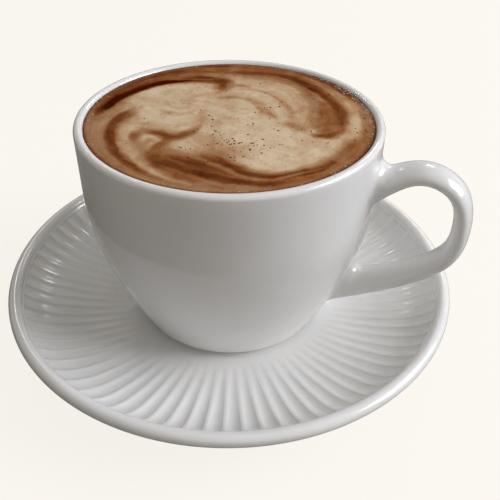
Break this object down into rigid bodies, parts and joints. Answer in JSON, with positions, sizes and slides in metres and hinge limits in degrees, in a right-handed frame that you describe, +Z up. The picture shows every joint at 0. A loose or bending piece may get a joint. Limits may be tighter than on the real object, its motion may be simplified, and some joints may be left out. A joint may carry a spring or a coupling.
{
  "type": "caffe mocha",
  "caption": "Caffe mocha filled to the rim of a rounded white porcelain cup with a strap handle, on a round saucer with radial flutes and a smooth raised lip.",
  "frame": {"origin": "centre of the saucer's foot ring, in the plane it stands on", "axes": "+Z up along the cup's axis, +X towards the cup's handle"},
  "size_m": [0.15, 0.15, 0.076],
  "materials": {
    "saucer_porcelain": "gloss",
    "cup_porcelain": "gloss",
    "mocha": "satin"
  },
  "bodies": {
    "root": {"saucer": "saucer_porcelain", "cup": "cup_porcelain", "mocha": "mocha"}
  },
  "joints": []
}
